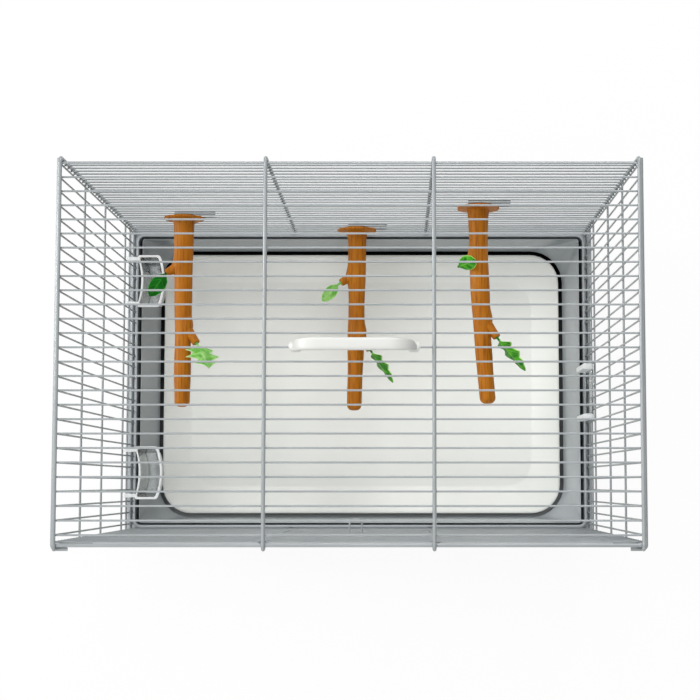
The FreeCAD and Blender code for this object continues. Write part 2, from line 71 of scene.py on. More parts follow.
HOOK_X, HOOK_Z, HOOK_END_Z, HOOK_WIDTH, HOOK_THICKNESS = 266.7, 103.3, 96.4, 5, 1.8
CUP_RIM_Z, CUP_LOW_Z, CUP_HALF_LENGTH = 104.2, 62.2, 28.5
CUP_WALL_X, CUP_ROOM_X, CUP_BULGE, CUP_HOOK_X = -252.5, -228.5, 5, 250.9
BACK_CUP_Y, FRONT_CUP_Y = 110.8, -106.8
GUARD_X, GUARD_Y, GUARD_LOW_Z, GUARD_HIGH_Z = 258.7, -17.2, 84.3, 143.3
GUARD_WIDTH, GUARD_THICKNESS, RIB_WIDTH, RIB_DEPTH = 62, 2, 6.5, 11

# Each perch: x and z of its root at the wall, and how far its tip bends to the right
PERCHES = {"left": (-189.02, 185.5, 0.0), "middle": (-3.0, 108.7, -3.0), "right": (126.98, 249.5, 9.0)}
PERCH_WALL_Y, PERCH_LENGTH, PERCH_ROUNDING = 169.3, 200.0, 6.0
ROOT_RADIUS, TIP_RADIUS = 10.5, 8.25
# Each stub: share of the perch's length at its fork, direction and length
STUBS = {"back": (0.25, (-0.82, -0.54, 0.22), 22.0), "front": (0.577, (0.56, -0.8, 0.22), 28.0)}
SOCKET_RADIUS, SOCKET_DEPTH, PLUG_LENGTH = 2.5, 6, 5.8
SHANK_RADIUS, SHANK_LENGTH, THREAD_PITCH, THREAD_START = 3.75, 5.9, 1.0, 2.2

# Leaf outlines as shares of length and of half width, from stalk to tip
PLAIN_LENGTH, PLAIN_WIDTH = 26, 15
PLAIN_HALF = ((0, 0.1), (0.06, 0.3), (0.2, 0.78), (0.42, 1.0), (0.65, 0.92), (0.85, 0.64), (0.96, 0.28),
              (1, 0.04))
LOBED_LENGTH, LOBED_WIDTH = 42, 38
LOBED_HALF = ((0, 0.06), (0.04, 0.3), (0.1, 0.84), (0.16, 0.74), (0.24, 0.5), (0.3, 0.58), (0.42, 1.0),
              (0.48, 0.78), (0.6, 0.4), (0.64, 0.46), (0.74, 0.64), (0.8, 0.42), (0.9, 0.2), (1, 0.02))


# Meshes

def quads_between(rings, around):
    """Quads that join each ring of points to the next, closed round every ring."""
    ring, place = np.meshgrid(np.arange(rings - 1), np.arange(around), indexing="ij")
    here = ring * around + place
    beside = ring * around + (place + 1) % around
    return np.stack([here, beside, beside + around, here + around], axis=-1).reshape(-1, 4)


def skin(rings):
    """Closed skin over an array of rings (ring, point, xyz), with a flat face on the first and last ring."""
    count, around = rings.shape[:2]
    faces = quads_between(count, around).tolist()
    faces.append(np.arange(around)[::-1].tolist())
    faces.append((np.arange(around) + (count - 1) * around).tolist())
    return rings.reshape(-1, 3), faces


def band(rings):
    """Closed band over an array of rings (ring, point, xyz) whose last ring lies on the first."""
    count, around = rings.shape[:2]
    return rings.reshape(-1, 3), quads_between(count, around).tolist()


def add_piece(name, skins, material, body, stands_for=(), uv=None, sharp=40):
    """One object from skins in millimetres: joined where they meet, faces outwards, smooth up to an angle."""
    points, faces, start = [], [], 0
    for skin_points, skin_faces in skins:
        points.append(skin_points)
        faces += [[corner + start for corner in face] for face in skin_faces]
        start += len(skin_points)
    mesh = bpy.data.meshes.new(name)
    mesh.from_pydata(np.concatenate(points) * MM, [], faces)
    if uv is not None:
        corners = np.zeros(len(mesh.loops), np.int32)
        mesh.loops.foreach_get("vertex_index", corners)
        mesh.uv_layers.new(name="UVMap").data.foreach_set("uv", uv[corners].astype(np.float32).ravel())
    shaped = bmesh.new()
    shaped.from_mesh(mesh)
    bmesh.ops.remove_doubles(shaped, verts=shaped.verts, dist=1e-6)
    bmesh.ops.recalc_face_normals(shaped, faces=shaped.faces)
    shaped.to_mesh(mesh)
    shaped.free()
    mesh.shade_smooth()
    mesh.set_sharp_from_angle(angle=math.radians(sharp))
    mesh.materials.append(material)
    piece = bpy.data.objects.new(name, mesh)
    bpy.context.scene.collection.objects.link(piece)
    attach(piece, body)
    if stands_for:
        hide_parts(*stands_for)


# Materials

def linear(hex_colour):
    """An sRGB hex colour as linear red, green, blue and full alpha."""
    srgb = np.array([int(hex_colour[i:i + 2], 16) for i in (1, 3, 5)]) / 255
    light = np.where(srgb <= 0.04045, srgb / 12.92, ((srgb + 0.055) / 1.055) ** 2.4)
    return (*light.tolist(), 1.0)


def per_metre(millimetres):
    """Texture scale that makes a pattern's cell this wide."""
    return 1 / (millimetres * MM)


def add_node(tree, kind, inputs=None, **settings):
    """Adds one node with its settings. Each input is a plain value, or an output socket to link from."""
    node = tree.nodes.new(kind)
    for key, value in settings.items():
        setattr(node, key, value)
    for key, value in (inputs or {}).items():
        if isinstance(value, bpy.types.NodeSocket):
            tree.links.new(value, node.inputs[key])
        else:
            node.inputs[key].default_value = value
    return node


def new_material(name, **sockets):
    """A material with one Principled shader whose sockets are set, and the object's own coordinates."""
    material = bpy.data.materials.new(name)
    material.use_nodes = True
    tree = material.node_tree
    shader = tree.nodes["Principled BSDF"]
    for key, value in sockets.items():
        shader.inputs[key.replace("_", " ")].default_value = value
    place = add_node(tree, "ShaderNodeTexCoord").outputs["Object"]
    return material, tree, shader, place


def blend_colours(tree, amount, first, second):
    """Mixes two colours by an amount socket and gives the colour socket."""
    mix = add_node(tree, "ShaderNodeMix", {"Factor": amount, 6: first, 7: second}, data_type="RGBA")
    return mix.outputs[2]


def cloudy_colour(tree, place, cell, detail, first, second):
    """Soft clouds of two colours, each cloud about a cell wide."""
    cloud = add_node(tree, "ShaderNodeTexNoise",
                     {"Vector": place, "Scale": per_metre(cell), "Detail": detail})
    return blend_colours(tree, cloud.outputs["Fac"], linear(first), linear(second))


def rub_gloss(tree, shader, place, cell, detail, smooth, rough):
    """Roughness that wanders between two values, in patches about a cell wide."""
    rub = add_node(tree, "ShaderNodeTexNoise",
                   {"Vector": place, "Scale": per_metre(cell), "Detail": detail})
    gloss = add_node(tree, "ShaderNodeMapRange",
                     {"Value": rub.outputs["Fac"], "To Min": smooth, "To Max": rough})
    tree.links.new(gloss.outputs["Result"], shader.inputs["Roughness"])


def grain_skin(tree, shader, place, cell, detail, depth, strength):
    """Fine relief of the surface: bumps about a cell wide and a depth high, both in millimetres."""
    grain = add_node(tree, "ShaderNodeTexNoise",
                     {"Vector": place, "Scale": per_metre(cell), "Detail": detail})
    bump = add_node(tree, "ShaderNodeBump",
                    {"Height": grain.outputs["Fac"], "Distance": depth * MM, "Strength": strength})
    tree.links.new(bump.outputs["Normal"], shader.inputs["Normal"])


def coated_steel_wire():
    """Steel wire dipped in grey epoxy: a smooth, slightly wavy, half-gloss coat."""
    material, tree, shader, place = new_material("epoxy_coated_steel_wire", Roughness=0.3, Metallic=0.15)
    tree.links.new(cloudy_colour(tree, place, 45, 2, "#888D8F", "#9A9FA1"), shader.inputs["Base Color"])
    grain_skin(tree, shader, place, 1.6, 1, 0.06, 0.6)
    return material


def grey_polystyrene():
    """Injection-moulded grey polystyrene: high gloss with faint flow marks and rub marks.

    The UV map's second value is painted shade: dark and without gloss in the groove and in the gap round the
    tray.
    """
    material, tree, shader, place = new_material("gloss_grey_polystyrene", IOR=1.59)
    unshaded_grey = cloudy_colour(tree, place, 90, 3, "#9CA2A5", "#AAB0B3")
    uv = add_node(tree, "ShaderNodeTexCoord").outputs["UV"]
    painted_shade = add_node(tree, "ShaderNodeSeparateXYZ", {"Vector": uv}).outputs["Y"]
    # Painted shade: the grey blends towards near black by the UV map's second value.
    tree.links.new(blend_colours(tree, painted_shade, unshaded_grey, linear("#121415")), shader.inputs["Base Color"])
    # The painted shade also takes the gloss away, so that it stays dark.
    sheen = add_node(tree, "ShaderNodeMapRange", {"Value": painted_shade, "To Min": 0.5, "To Max": 0.0})
    tree.links.new(sheen.outputs["Result"], shader.inputs["Specular IOR Level"])
    rub_gloss(tree, shader, place, 14, 4, 0.14, 0.3)
    grain_skin(tree, shader, place, 4, 2, 0.08, 0.35)
    return material


def white_polystyrene(name, pale, shade, roughness):
    """Injection-moulded white polystyrene: satin or half matt, with a faint cloud and a fine grain."""
    material, tree, shader, place = new_material(name, IOR=1.59)
    tree.links.new(cloudy_colour(tree, place, 120, 3, shade, pale), shader.inputs["Base Color"])
    rub_gloss(tree, shader, place, 9, 3, roughness - 0.05, roughness + 0.08)
    grain_skin(tree, shader, place, 1.2, 1, 0.03, 0.4)
    return material


def brown_polyethylene():
    """Moulded brown polyethylene: bark grain drawn out along the branch, soft sheen on the ridges."""
    material, tree, shader, place = new_material("moulded_brown_polyethylene", IOR=1.51,
                                                 Specular_IOR_Level=0.16)
    drawn = add_node(tree, "ShaderNodeMapping", {"Vector": place, "Scale": (1.0, 0.05, 1.0)})
    bark = add_node(tree, "ShaderNodeTexNoise", {"Vector": drawn.outputs["Vector"], "Scale": per_metre(2.0),
                                                 "Detail": 3.0, "Roughness": 0.6}).outputs["Fac"]
    base = cloudy_colour(tree, place, 26, 2, "#A05802", "#BE7818")
    streak = add_node(tree, "ShaderNodeMapRange",
                      {"Value": bark, "From Min": 0.48, "From Max": 0.7, "To Max": 0.7})
    tree.links.new(blend_colours(tree, streak.outputs["Result"], base, linear("#743C06")),
                   shader.inputs["Base Color"])
    gloss = add_node(tree, "ShaderNodeMapRange", {"Value": bark, "To Min": 0.34, "To Max": 0.58})
    tree.links.new(gloss.outputs["Result"], shader.inputs["Roughness"])
    bump = add_node(tree, "ShaderNodeBump", {"Height": bark, "Distance": 0.4 * MM, "Strength": 0.5})
    tree.links.new(bump.outputs["Normal"], shader.inputs["Normal"])
    return material


def green_polyethylene(name, dark, light, vein):
    """Moulded green polyethylene leaf: pale at its thin rim, with a raised midrib and slanting side veins.

    The blade's UV map runs across it from 0 to 1 with the midrib at 0.5, and along it from stalk to tip.
    """
    material, tree, shader, place = new_material(name, IOR=1.51, Roughness=0.42, Specular_IOR_Level=0.08)
    uv = add_node(tree, "ShaderNodeTexCoord").outputs["UV"]
    split = add_node(tree, "ShaderNodeSeparateXYZ", {"Vector": uv})
    across = add_node(tree, "ShaderNodeMath", {0: split.outputs["X"], 1: 0.5}, operation="SUBTRACT")
    out = add_node(tree, "ShaderNodeMath", {0: across.outputs[0]}, operation="ABSOLUTE").outputs[0]
    slant = add_node(tree, "ShaderNodeMath", {0: out, 1: -0.45, 2: split.outputs["Y"]},
                     operation="MULTIPLY_ADD")
    wave = add_node(tree, "ShaderNodeMath", {0: slant.outputs[0], 1: 0.13}, operation="PINGPONG")
    side_vein = add_node(tree, "ShaderNodeMapRange",
                         {"Value": wave.outputs[0], "From Max": 0.022, "To Min": 1.0, "To Max": 0.0})
    midrib = add_node(tree, "ShaderNodeMapRange",
                      {"Value": out, "From Min": 0.02, "From Max": 0.055, "To Min": 1.0, "To Max": 0.0})
    veins = add_node(tree, "ShaderNodeMath", {0: midrib.outputs["Result"], 1: side_vein.outputs["Result"]},
                     operation="MAXIMUM").outputs[0]
    cloud = add_node(tree, "ShaderNodeTexNoise", {"Vector": place, "Scale": per_metre(7), "Detail": 3.0})
    patches = add_node(tree, "ShaderNodeMapRange",
                       {"Value": cloud.outputs["Fac"], "From Min": 0.38, "From Max": 0.62})
    blade = blend_colours(tree, patches.outputs["Result"], linear(dark), linear(light))
    faint = add_node(tree, "ShaderNodeMath", {0: veins, 1: 0.45}, operation="MULTIPLY")
    rim = add_node(tree, "ShaderNodeMapRange", {"Value": out, "From Min": 0.42, "From Max": 0.5})
    pale = add_node(tree, "ShaderNodeMath", {0: faint.outputs[0], 1: rim.outputs["Result"]},
                    operation="MAXIMUM")
    tree.links.new(blend_colours(tree, pale.outputs[0], blade, linear(vein)), shader.inputs["Base Color"])
    bump = add_node(tree, "ShaderNodeBump", {"Height": veins, "Distance": 0.4 * MM, "Strength": 0.7})
    tree.links.new(bump.outputs["Normal"], shader.inputs["Normal"])
    return material


def clear_polystyrene():
    """Moulded clear polystyrene: water-clear and glossy, with slightly uneven walls."""
    material, tree, shader, place = new_material("clear_polystyrene", IOR=1.59, Transmission_Weight=1.0,
                                                 Specular_IOR_Level=0.2, Base_Color=linear("#F6FAFA"))
    rub_gloss(tree, shader, place, 11, 2, 0.02, 0.12)
    grain_skin(tree, shader, place, 11, 2, 0.2, 0.3)
    return material


def painted_highlight_polystyrene():
    """Matt clear polystyrene, near white: painted highlight for the reflections along rims, ribs and hooks."""
    material, tree, shader, place = new_material("matt_clear_polystyrene_painted_highlight", IOR=1.59, Transmission_Weight=0.2)
    # Near-white colour on the rims, ribs and hooks is a painted highlight.
    tree.links.new(cloudy_colour(tree, place, 7, 2, "#F0F4F5", "#FAFCFC"), shader.inputs["Base Color"])
    rub_gloss(tree, shader, place, 7, 2, 0.3, 0.5)
    return material


def black_nylon():
    """Moulded black nylon: dull, with a fine spark-eroded grain."""
    material, tree, shader, place = new_material("moulded_black_nylon", IOR=1.53, Roughness=0.5,
                                                 Specular_IOR_Level=0.2)
    tree.links.new(cloudy_colour(tree, place, 6, 3, "#121311", "#20221E"), shader.inputs["Base Color"])
    grain_skin(tree, shader, place, 0.8, 1, 0.06, 0.5)
    return material


wire_finish = coated_steel_wire()
tub_finish = grey_polystyrene()
tray_finish = white_polystyrene("satin_white_polystyrene", "#F3F4EF", "#EBEDE7", 0.34)
# The handle's white is darker than the tray's: painted shade that keeps the better-lit handle as bright as the
# tray.
handle_finish = white_polystyrene("half_matt_white_polystyrene", "#DCDDD9", "#D2D3CF", 0.45)
branch_finish = brown_polyethylene()
leaf_finish = green_polyethylene("moulded_green_polyethylene", "#0A6A0C", "#4CAE22", "#A4DA6C")
# Darker and lighter copies of the same green plastic: painted shade for leaves in shadow, painted light for
# leaves facing the lamps.
painted_shade_leaf_finish = green_polyethylene("moulded_green_polyethylene_painted_shade", "#014A04", "#06600A", "#3E9A34")
painted_light_leaf_finish = green_polyethylene("moulded_green_polyethylene_painted_light", "#62B23E", "#98D472", "#D0EDB4")
clear_finish = clear_polystyrene()
painted_highlight_finish = painted_highlight_polystyrene()
nut_finish = black_nylon()

finishes = {"coated_wire": wire_finish, "base_grey": tub_finish, "tray_white": tray_finish,
            "handle_white": handle_finish, "branch_brown": branch_finish, "leaf_green": leaf_finish,
            "clear_plastic": clear_finish, "nut_black": nut_finish}
for subpart in frame["record"]["subparts"]:
    node = frame["nodes"][subpart["node"]]
    node.data.materials.clear()
    node.data.materials.append(finishes[subpart["material_slot"]])


# Shapes

def unit(vector):
    return np.asarray(vector, float) / np.linalg.norm(vector)


def square_to(axis):
    """Two unit vectors square to an axis and to each other."""
    axis = unit(axis)
    first = unit(np.cross(axis, (0, 0, 1) if abs(axis[2]) < 0.9 else (1, 0, 0)))
    return first, np.cross(axis, first)


def revolved(start, axis, profile, around=40):
    """Turned shape: each profile row (distance along the axis, radius) is a circle about the axis."""
    along, radius = np.array(profile, float).T[:, :, None, None]
    angle = np.linspace(0, 2 * math.pi, around, endpoint=False)[None, :, None]
    first, second = square_to(axis)
    return skin(np.asarray(start) + along * unit(axis)
                + radius * (np.cos(angle) * first + np.sin(angle) * second))


def eased(corners, steps=5):
    """Profile with rounded corners: each is a parabola that leaves and meets its sides at a distance.

    A corner is a row of values that ends with its distance. The first and last rows stay as they are.
    """
    values = np.array([corner[:-1] for corner in corners], float)
    distance = np.array([corner[-1] for corner in corners], float)[1:-1, None]
    before, middle, after = values[:-2], values[1:-1], values[2:]
    arrive = middle + (before - middle) * distance / np.linalg.norm(before - middle, axis=1, keepdims=True)
    leave = middle + (after - middle) * distance / np.linalg.norm(after - middle, axis=1, keepdims=True)
    share = np.linspace(0, 1, steps)[None, :, None]
    arcs = ((1 - share) ** 2 * arrive[:, None] + 2 * share * (1 - share) * middle[:, None]
            + share ** 2 * leave[:, None])
    return np.concatenate([values[:1], arcs.reshape(-1, values.shape[1]), values[-1:]])


def level_rings(half_width, half_depth, profile, corner_steps=9):
    """Rings of level rounded rectangles.

    A profile row adds to half width and half depth, and gives height and corner radius.
    """
    wider, deeper, height, radius = profile.T[:, :, None]
    quarters = [np.linspace(start, start + 90, corner_steps) for start in (0, 90, 180, 270)]
    angle = np.radians(np.concatenate(quarters))[None]
    side_x = np.repeat([1, -1, -1, 1], corner_steps)[None]
    side_y = np.repeat([1, 1, -1, -1], corner_steps)[None]
    x = side_x * (half_width + wider - radius) + radius * np.cos(angle)
    y = side_y * (half_depth + deeper - radius) + radius * np.sin(angle)
    return np.stack([x, y, np.broadcast_to(height, x.shape)], axis=-1)


def strap(path, side, width, thickness, around=28):
    """Bar swept along a path: rings that are rounded rectangles (superellipses), smaller at both ends."""
    end_share, squareness = 0.75, 0.45
    path = np.asarray(path, float)
    side = np.asarray(side, float)
    way = np.gradient(path, axis=0)
    over = np.cross(side, way)
    over /= np.linalg.norm(over, axis=1, keepdims=True)
    ease = np.ones(len(path))
    ease[[0, -1]] = end_share
    angle = np.linspace(0, 2 * math.pi, around, endpoint=False)
    across = np.sign(np.cos(angle)) * np.abs(np.cos(angle)) ** squareness
    upward = np.sign(np.sin(angle)) * np.abs(np.sin(angle)) ** squareness
    half_width = (ease * width / 2)[:, None, None]
    half_thickness = (ease * thickness / 2)[:, None, None]
    return skin(path[:, None] + half_width * across[None, :, None] * side
                + half_thickness * upward[None, :, None] * over[:, None])


# Tub and tray

def add_base_tub():
    """Tub wall carried round a rounded rectangle.

    A profile row adds to half width and half depth, and gives height, corner radius, how much painted
    shade it gets and how far its corner is eased. The painted shade is less at the front.
    """
    out_x, out_y = FLANGE_REACH_X, FLANGE_REACH_Y
    in_x, in_y = out_x - SKIRT_WALL, out_y - SKIRT_WALL
    # Fifth value: painted shade, full in the groove, under the shelf and on the floor round the tray, 0.12 on
    # the shelf.
    wall = eased([
        # Underside, foot and drafted wall
        (-28, -28, 1, 9, 0, 0), (-28, -28, 0, 9, 0, 0.4), (-6, -6, 0, 9, 0, 1), (-3, -3, 3, 9, 0, 1.5),
        # Flange with its skirt turned down, and the lip inside it
        (-0.5, -0.5, FLANGE_UNDER_Z, 9, 0, 0.8), (in_x, in_y, FLANGE_UNDER_Z, 7, 0, 0.6),
        (in_x, in_y, SKIRT_LOW_Z, 7, 0, 0.5), (out_x, out_y, SKIRT_LOW_Z, 9, 0, 0.5),
        (out_x, out_y, FLANGE_Z, 9, 0, 1.4), (-0.4, -0.4, FLANGE_Z, 9, 0, 0.8),
        (0, 0, LIP_Z, 9, 0, 1.0), (-2.5, -2.5, LIP_Z, 6.5, 0, 0.6),
        # Groove beside the lip
        (-2.9, -2.9, GROOVE_Z, 6.2, 1, 0.4), (-6.2, -4.5, GROOVE_Z, 3, 1, 0.4),
        # Shelf that slopes down towards the tray
        (-6.2, -4.5, SHELF_HIGH_Z, 3, 0.12, 0.5), (-7, -5.3, SHELF_HIGH_Z, 3, 0.12, 0.3),
        (-19.5, -10.1, SHELF_LOW_Z, 38, 0.12, 0.5), (-19.5, -10.1, SHELF_UNDER_Z, 38, 1, 0.4),
        # Gap below the shelf, and the floor
        (-10, -6.8, SHELF_UNDER_Z, 41, 1, 0.8), (-10, -6.8, TUB_FLOOR_Z, 41, 1, 0.8),
        (-30, -30, TUB_FLOOR_Z, 33, 1, 0.5), (-60, -60, TUB_FLOOR_Z, 28, 0, 0),
    ])
    rings = level_rings(TUB_HALF_WIDTH, TUB_HALF_DEPTH, wall[:, :4])
    # The painted shade fades to 0.3 of its strength towards the front.
    front_painted_shade, front_y = (0.3, 1), (-150, -90)
    painted_shade = wall[:, 4, None] * np.interp(rings[..., 1], front_y, front_painted_shade)
    uv = np.stack([0 * painted_shade, painted_shade], axis=-1).reshape(-1, 2)
    add_piece("tub", [skin(rings)], tub_finish, "base", ["base_tub"], uv=uv)


def add_litter_tray():
    """Tray wall carried round a rounded rectangle: underside, skirt, rolled rim, long slope and flat floor.

    A profile row adds to half width and depth, and gives height, corner radius and how far it is eased.
    """
    slope_x, rim_x = -32, -3
    inner_corner, skirt_corner = TRAY_CORNER + rim_x, TRAY_CORNER - TRAY_WALL
    under_z, floor_z = TRAY_RIM_Z - TRAY_WALL, TRAY_FOOT_Z + TRAY_WALL
    rows = [
        (slope_x, TRAY_FOOT_Z, inner_corner, 0), (rim_x, under_z, inner_corner, 0.4),
        (-TRAY_WALL, under_z, skirt_corner, 0.3), (-TRAY_WALL, TRAY_FOOT_Z, skirt_corner, 0.4),
        (0, TRAY_FOOT_Z, TRAY_CORNER, 0.5), (0, TRAY_RIM_Z, TRAY_CORNER, 1.6),
        (rim_x, TRAY_RIM_Z, inner_corner, 1.3), (slope_x, floor_z, inner_corner, 2),
        (-90, floor_z, inner_corner, 0),
    ]
    wall = eased([(inwards, inwards, *row) for inwards, *row in rows])
    rings = level_rings(TRAY_HALF_WIDTH, TRAY_HALF_DEPTH, wall)
    add_piece("tray", [skin(rings)], tray_finish, "tray", ["litter_tray"])


# Carrying handle

def clip_foot(side):
    """C-shaped clip: a strap carried 310 degrees round the roof wire, drawn inwards at its front end."""
    drawn_in, root_width, narrowing = 2.5, 9.6, 2.4
    turn = np.radians(np.linspace(-155, 155, 45))
    inwards = -side * drawn_in * np.clip(-turn, 0, None) / turn[-1]
    path = np.stack([HANDLE_X + side * CLIP_X + inwards, HANDLE_Y + CLIP_RADIUS * np.sin(turn),
                     HANDLE_WIRE_Z + CLIP_RADIUS * np.cos(turn)], axis=1)
    return strap(path, (1, 0, 0), root_width - narrowing * np.abs(turn) / turn[-1], CLIP_THICKNESS)


def add_handle():
    """Grip: a strap carried over an arch with rounded corners, wide in the middle, on two clip feet."""
    arch = eased([(-ARCH_LOW_X, ARCH_LOW_Z, 0), (-ARCH_TOP_X, ARCH_TOP_Z, ARCH_CORNER),
                  (ARCH_TOP_X, ARCH_TOP_Z, ARCH_CORNER), (ARCH_LOW_X, ARCH_LOW_Z, 0)], 12)
    x, z = arch.T
    path = np.stack([HANDLE_X + x, np.full(len(x), HANDLE_Y), z], axis=1)
    end_width, end_thickness, wider, thicker, spread_height = 7.5, 6, 3.5, 2, 30.5
    spread = np.clip((z - ARCH_LOW_Z) / spread_height, 0, 1)
    grip = strap(path, (0, 1, 0), end_width + wider * spread, end_thickness + thicker * spread)
    add_piece("carrying_grip", [grip, clip_foot(-1), clip_foot(1)], handle_finish, "carry_handle",
              ["handle"], sharp=50)


# Cups and guard plate

def wall_hook(side, inner_x, y):
    """Flat hook: a strap that reaches out between two side wires and turns down behind the rod."""
    corner = eased([(inner_x, HOOK_Z, 0), (HOOK_X, HOOK_Z, 1.8), (HOOK_X, HOOK_END_Z, 0)])
    path = np.stack([side * corner[:, 0], np.full(len(corner), y), corner[:, 1]], axis=1)
    return strap(path, (0, 1, 0), HOOK_WIDTH, HOOK_THICKNESS)


def cup_rings(profile, y):
    """Level rings of a cup: straight ends, and two sides that bulge inwards by a parabola; corners averaged.

    A profile row gives how far the ring lies inside the cup's outline, and its height.
    """
    inset, z = np.array(profile, float).T[:, :, None]
    run = np.linspace(-1, 1, 17)[None, :-1]
    straight = np.linspace(0, 1, 17)[None, :-1]
    half, back, front = CUP_HALF_LENGTH - inset, CUP_WALL_X + inset, CUP_ROOM_X - inset
    ends = np.ones_like(run)
    bulge = CUP_BULGE * (1 - run ** 2)
    x = np.concatenate([back + (front - back) * straight, front + bulge,
                        front + (back - front) * straight, back + bulge], axis=1)
    along = np.concatenate([-half * ends, half * run, half * ends, -half * run], axis=1)
    rings = np.stack([x, y + along, np.broadcast_to(z, x.shape)], axis=-1)
    for _ in range(2):
        rings = (np.roll(rings, 1, axis=1) + 2 * rings + np.roll(rings, -1, axis=1)) / 4
    return rings


def add_cup(node, body, y):
    """Cup: a clear tapered wall and floor, with a matt turned-out rim and two matt hooks."""
    low, high = CUP_LOW_Z, CUP_RIM_Z
    wall = [(9, low), (3.6, low), (3, low + 0.8), (2.93, low + 1.8), (0.2, high - 1), (1.4, high - 1),
            (4.51, low + 3.6), (4.6, low + 2.6), (5.6, low + 1.6), (9, low + 1.6)]
    rim = [(-1.2, high - 1.6), (-1.2, high - 0.4), (-0.8, high), (0.8, high), (1.2, high - 0.4),
           (1.2, high - 1.6), (-1.2, high - 1.6)]
    hooks = [wall_hook(-1, CUP_HOOK_X, y + side * 2 * WIRE_PITCH) for side in (-1, 1)]
    add_piece(node + "_wall", [skin(cup_rings(wall, y))], clear_finish, body, [node])
    add_piece(node + "_rim", [band(cup_rings(rim, y))] + hooks, painted_highlight_finish, body)


def upright_strap(x, y, width, thickness):
    """Strap that stands on the guard's foot, with rings close together near its two ends."""
    ends = np.array([0, 0.5, 1.1, 2.1])
    middle = (GUARD_LOW_Z + GUARD_HIGH_Z) / 2
    z = np.concatenate([GUARD_LOW_Z + ends, [middle], GUARD_HIGH_Z - ends[::-1]])
    return strap(np.stack([0 * z + x, 0 * z + y, z], axis=1), (0, 1, 0), width, thickness, 36)


def add_guard_plate():
    """Clear plate against the right wall: an upright strap with a matt rib at each side and two hooks."""
    plate = upright_strap(GUARD_X, GUARD_Y, GUARD_WIDTH, GUARD_THICKNESS)
    rib_x, rib_out = GUARD_X - RIB_DEPTH / 2, (GUARD_WIDTH - RIB_WIDTH) / 2
    ribs = [upright_strap(rib_x, GUARD_Y + side * rib_out, RIB_WIDTH, RIB_DEPTH) for side in (-1, 1)]
    hooks = [wall_hook(1, GUARD_X - GUARD_THICKNESS / 2, GUARD_Y + side * WIRE_PITCH) for side in (-1, 1)]
    add_piece("guard_wall", [plate], clear_finish, "side_guard", ["guard_plate"])
    add_piece("guard_ribs", ribs + hooks, painted_highlight_finish, "side_guard")


# Branch perches

def perch_axis(x, z, bend, place):
    """Point on a perch's axis at a share of its length from the wall; the bend grows with the square."""
    place = np.asarray(place, float)
    return np.stack([x + bend * place ** 2, PERCH_WALL_Y - PERCH_LENGTH * place, z + 0 * place], axis=-1)


def stub_end(x, z, bend, stub):
    """End point and direction of a stub socket."""
    place, lean, length = STUBS[stub]
    return perch_axis(x, z, bend, place) + unit(lean) * length, unit(lean)


def perch_stem(x, z, bend, seed):
    """Stem: circles along the bent axis, tapered, flared at the wall, swollen at each fork, slightly uneven.

    The flare dies away exponentially, a swelling is a bell curve, and the unevenness is a sum of two sines.
    """
    flare, flare_run = 3.4, 4.5
    swelling, swelling_shift, swelling_run = 2.6, 0.015, 0.045
    oval, wave = 0.28, 0.3
    rows, around = 90, 48
    turn = np.linspace(0, math.pi / 2, 7)[1:]
    place = np.concatenate([np.linspace(0.002, 1, rows), np.ones(len(turn))])
    beyond = np.concatenate([np.zeros(rows), PERCH_ROUNDING * np.sin(turn)])
    radius = ROOT_RADIUS + (TIP_RADIUS - ROOT_RADIUS) * place
    radius -= np.concatenate([np.zeros(rows), PERCH_ROUNDING * (1 - np.cos(turn))])
    radius += flare * np.exp(-place * PERCH_LENGTH / flare_run)
    angle = np.linspace(0, 2 * math.pi, around, endpoint=False)[None]
    radius = np.repeat(radius[:, None], around, axis=1)
    along = place[:, None]
    for fork, lean, _ in STUBS.values():
        towards = np.clip(np.cos(angle - math.atan2(lean[2], lean[0])), 0, 1) ** 2
        radius += swelling * towards * np.exp(-((along - fork - swelling_shift) / swelling_run) ** 2)
    fade = np.clip((1 - along) * 8, 0, 1)
    radius += fade * (oval * np.sin(2 * angle + 9 * along + seed) + wave * np.sin(17 * along + 2 * seed))
    centre = perch_axis(x, z, bend, place) - beyond[:, None] * np.array([0, 1, 0])
    out = np.stack([np.cos(angle), 0 * angle, np.sin(angle)], axis=-1)
    return skin(centre[:, None] + radius[..., None] * out)


def wall_flange(x, z, seed):
    """Thin disc against the wires: rings about the stem whose rim and front rise and fall by sines."""
    notch, outer_part = 0.035, 15
    angle = np.linspace(0, 2 * math.pi, 72, endpoint=False)[None]
    forward = np.array([0.0, 0.5, 2.6, 3.4, 3.6, 4.6])[:, None]
    radius = np.array([21.2, 22.2, 22.4, 21.6, 20.0, 9.5])[:, None]
    rise = np.array([0, 0, 0.7, 0.9, 0.9, 0.3])[:, None]
    radius = radius * (1 - notch * np.abs(np.sin(2.5 * angle + seed)) * (radius > outer_part))
    y = PERCH_WALL_Y - forward - rise * (np.sin(3 * angle + seed) - 1) * 0.5
    return skin(np.stack([x + radius * np.cos(angle), y, z + radius * np.sin(angle)], axis=-1))


def stub_socket(x, z, bend, stub):
    """Forked stub: a turned shape from inside the stem to its cut end, with the socket bored into it."""
    end, lean = stub_end(x, z, bend, stub)
    length = STUBS[stub][2]
    profile = [(0, 6.6), (length * 0.35, 5.7), (length * 0.7, 4.7), (length - 1.2, 4.35), (length - 0.3, 4.2),
               (length, 3.8), (length, SOCKET_RADIUS + 0.2), (length - 0.4, SOCKET_RADIUS),
               (length - SOCKET_DEPTH, SOCKET_RADIUS)]
    return revolved(end - lean * length, lean, profile)


def threaded_shank(x, z):
    """Shank through the wires to the nut: a turned shape with low thread crests, a cosine, near its end."""
    crest = 0.25
    run = np.linspace(0, SHANK_LENGTH, 60)
    radius = SHANK_RADIUS + crest * np.cos(run * 2 * math.pi / THREAD_PITCH) * (run > THREAD_START)
    return revolved((x, PERCH_WALL_Y, z), (0, 1, 0), np.stack([run, radius], axis=1), 28)


